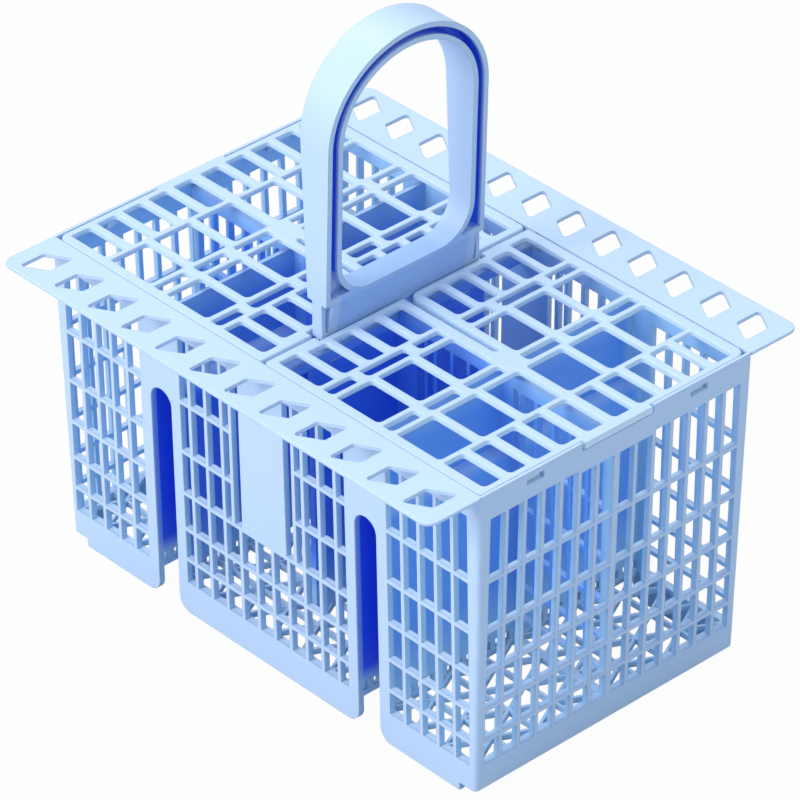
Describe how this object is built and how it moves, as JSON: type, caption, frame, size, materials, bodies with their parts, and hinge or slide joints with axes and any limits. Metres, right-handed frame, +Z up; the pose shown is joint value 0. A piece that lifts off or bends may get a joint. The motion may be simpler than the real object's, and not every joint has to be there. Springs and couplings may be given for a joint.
{
  "type": "dishwasher cutlery basket",
  "caption": "Rectangular lattice cutlery basket for a dishwasher, with an arched carrying handle, hinged grid lids, perforated side wings and tunnels that pass over rack tines.",
  "frame": {"origin": "middle of the footprint, at the level of the feet", "axes": "+X along the basket, +Y across it towards the rear wing, +Z up"},
  "size_m": [0.2408, 0.19, 0.2598],
  "materials": {
    "basket": "satin pale blue polypropylene",
    "handle": "satin pale blue polypropylene",
    "left_lid": "satin pale blue polypropylene",
    "right_lid": "satin pale blue polypropylene"
  },
  "bodies": {
    "basket": {"basket": "basket", "handle": "handle"},
    "left_lid": {"left_lid": "left_lid"},
    "right_lid": {"right_lid": "right_lid"}
  },
  "joints": [
    {"name": "right_lid_hinge", "type": "hinge", "parent": "basket", "child": "right_lid", "pos_m": [0.0056, 0, 0.138], "axis": [0, -1, 0], "range_deg": [0, 80]},
    {"name": "left_lid_hinge", "type": "hinge", "parent": "basket", "child": "left_lid", "pos_m": [-0.0056, 0, 0.138], "axis": [0, 1, 0], "range_deg": [0, 80]}
  ]
}
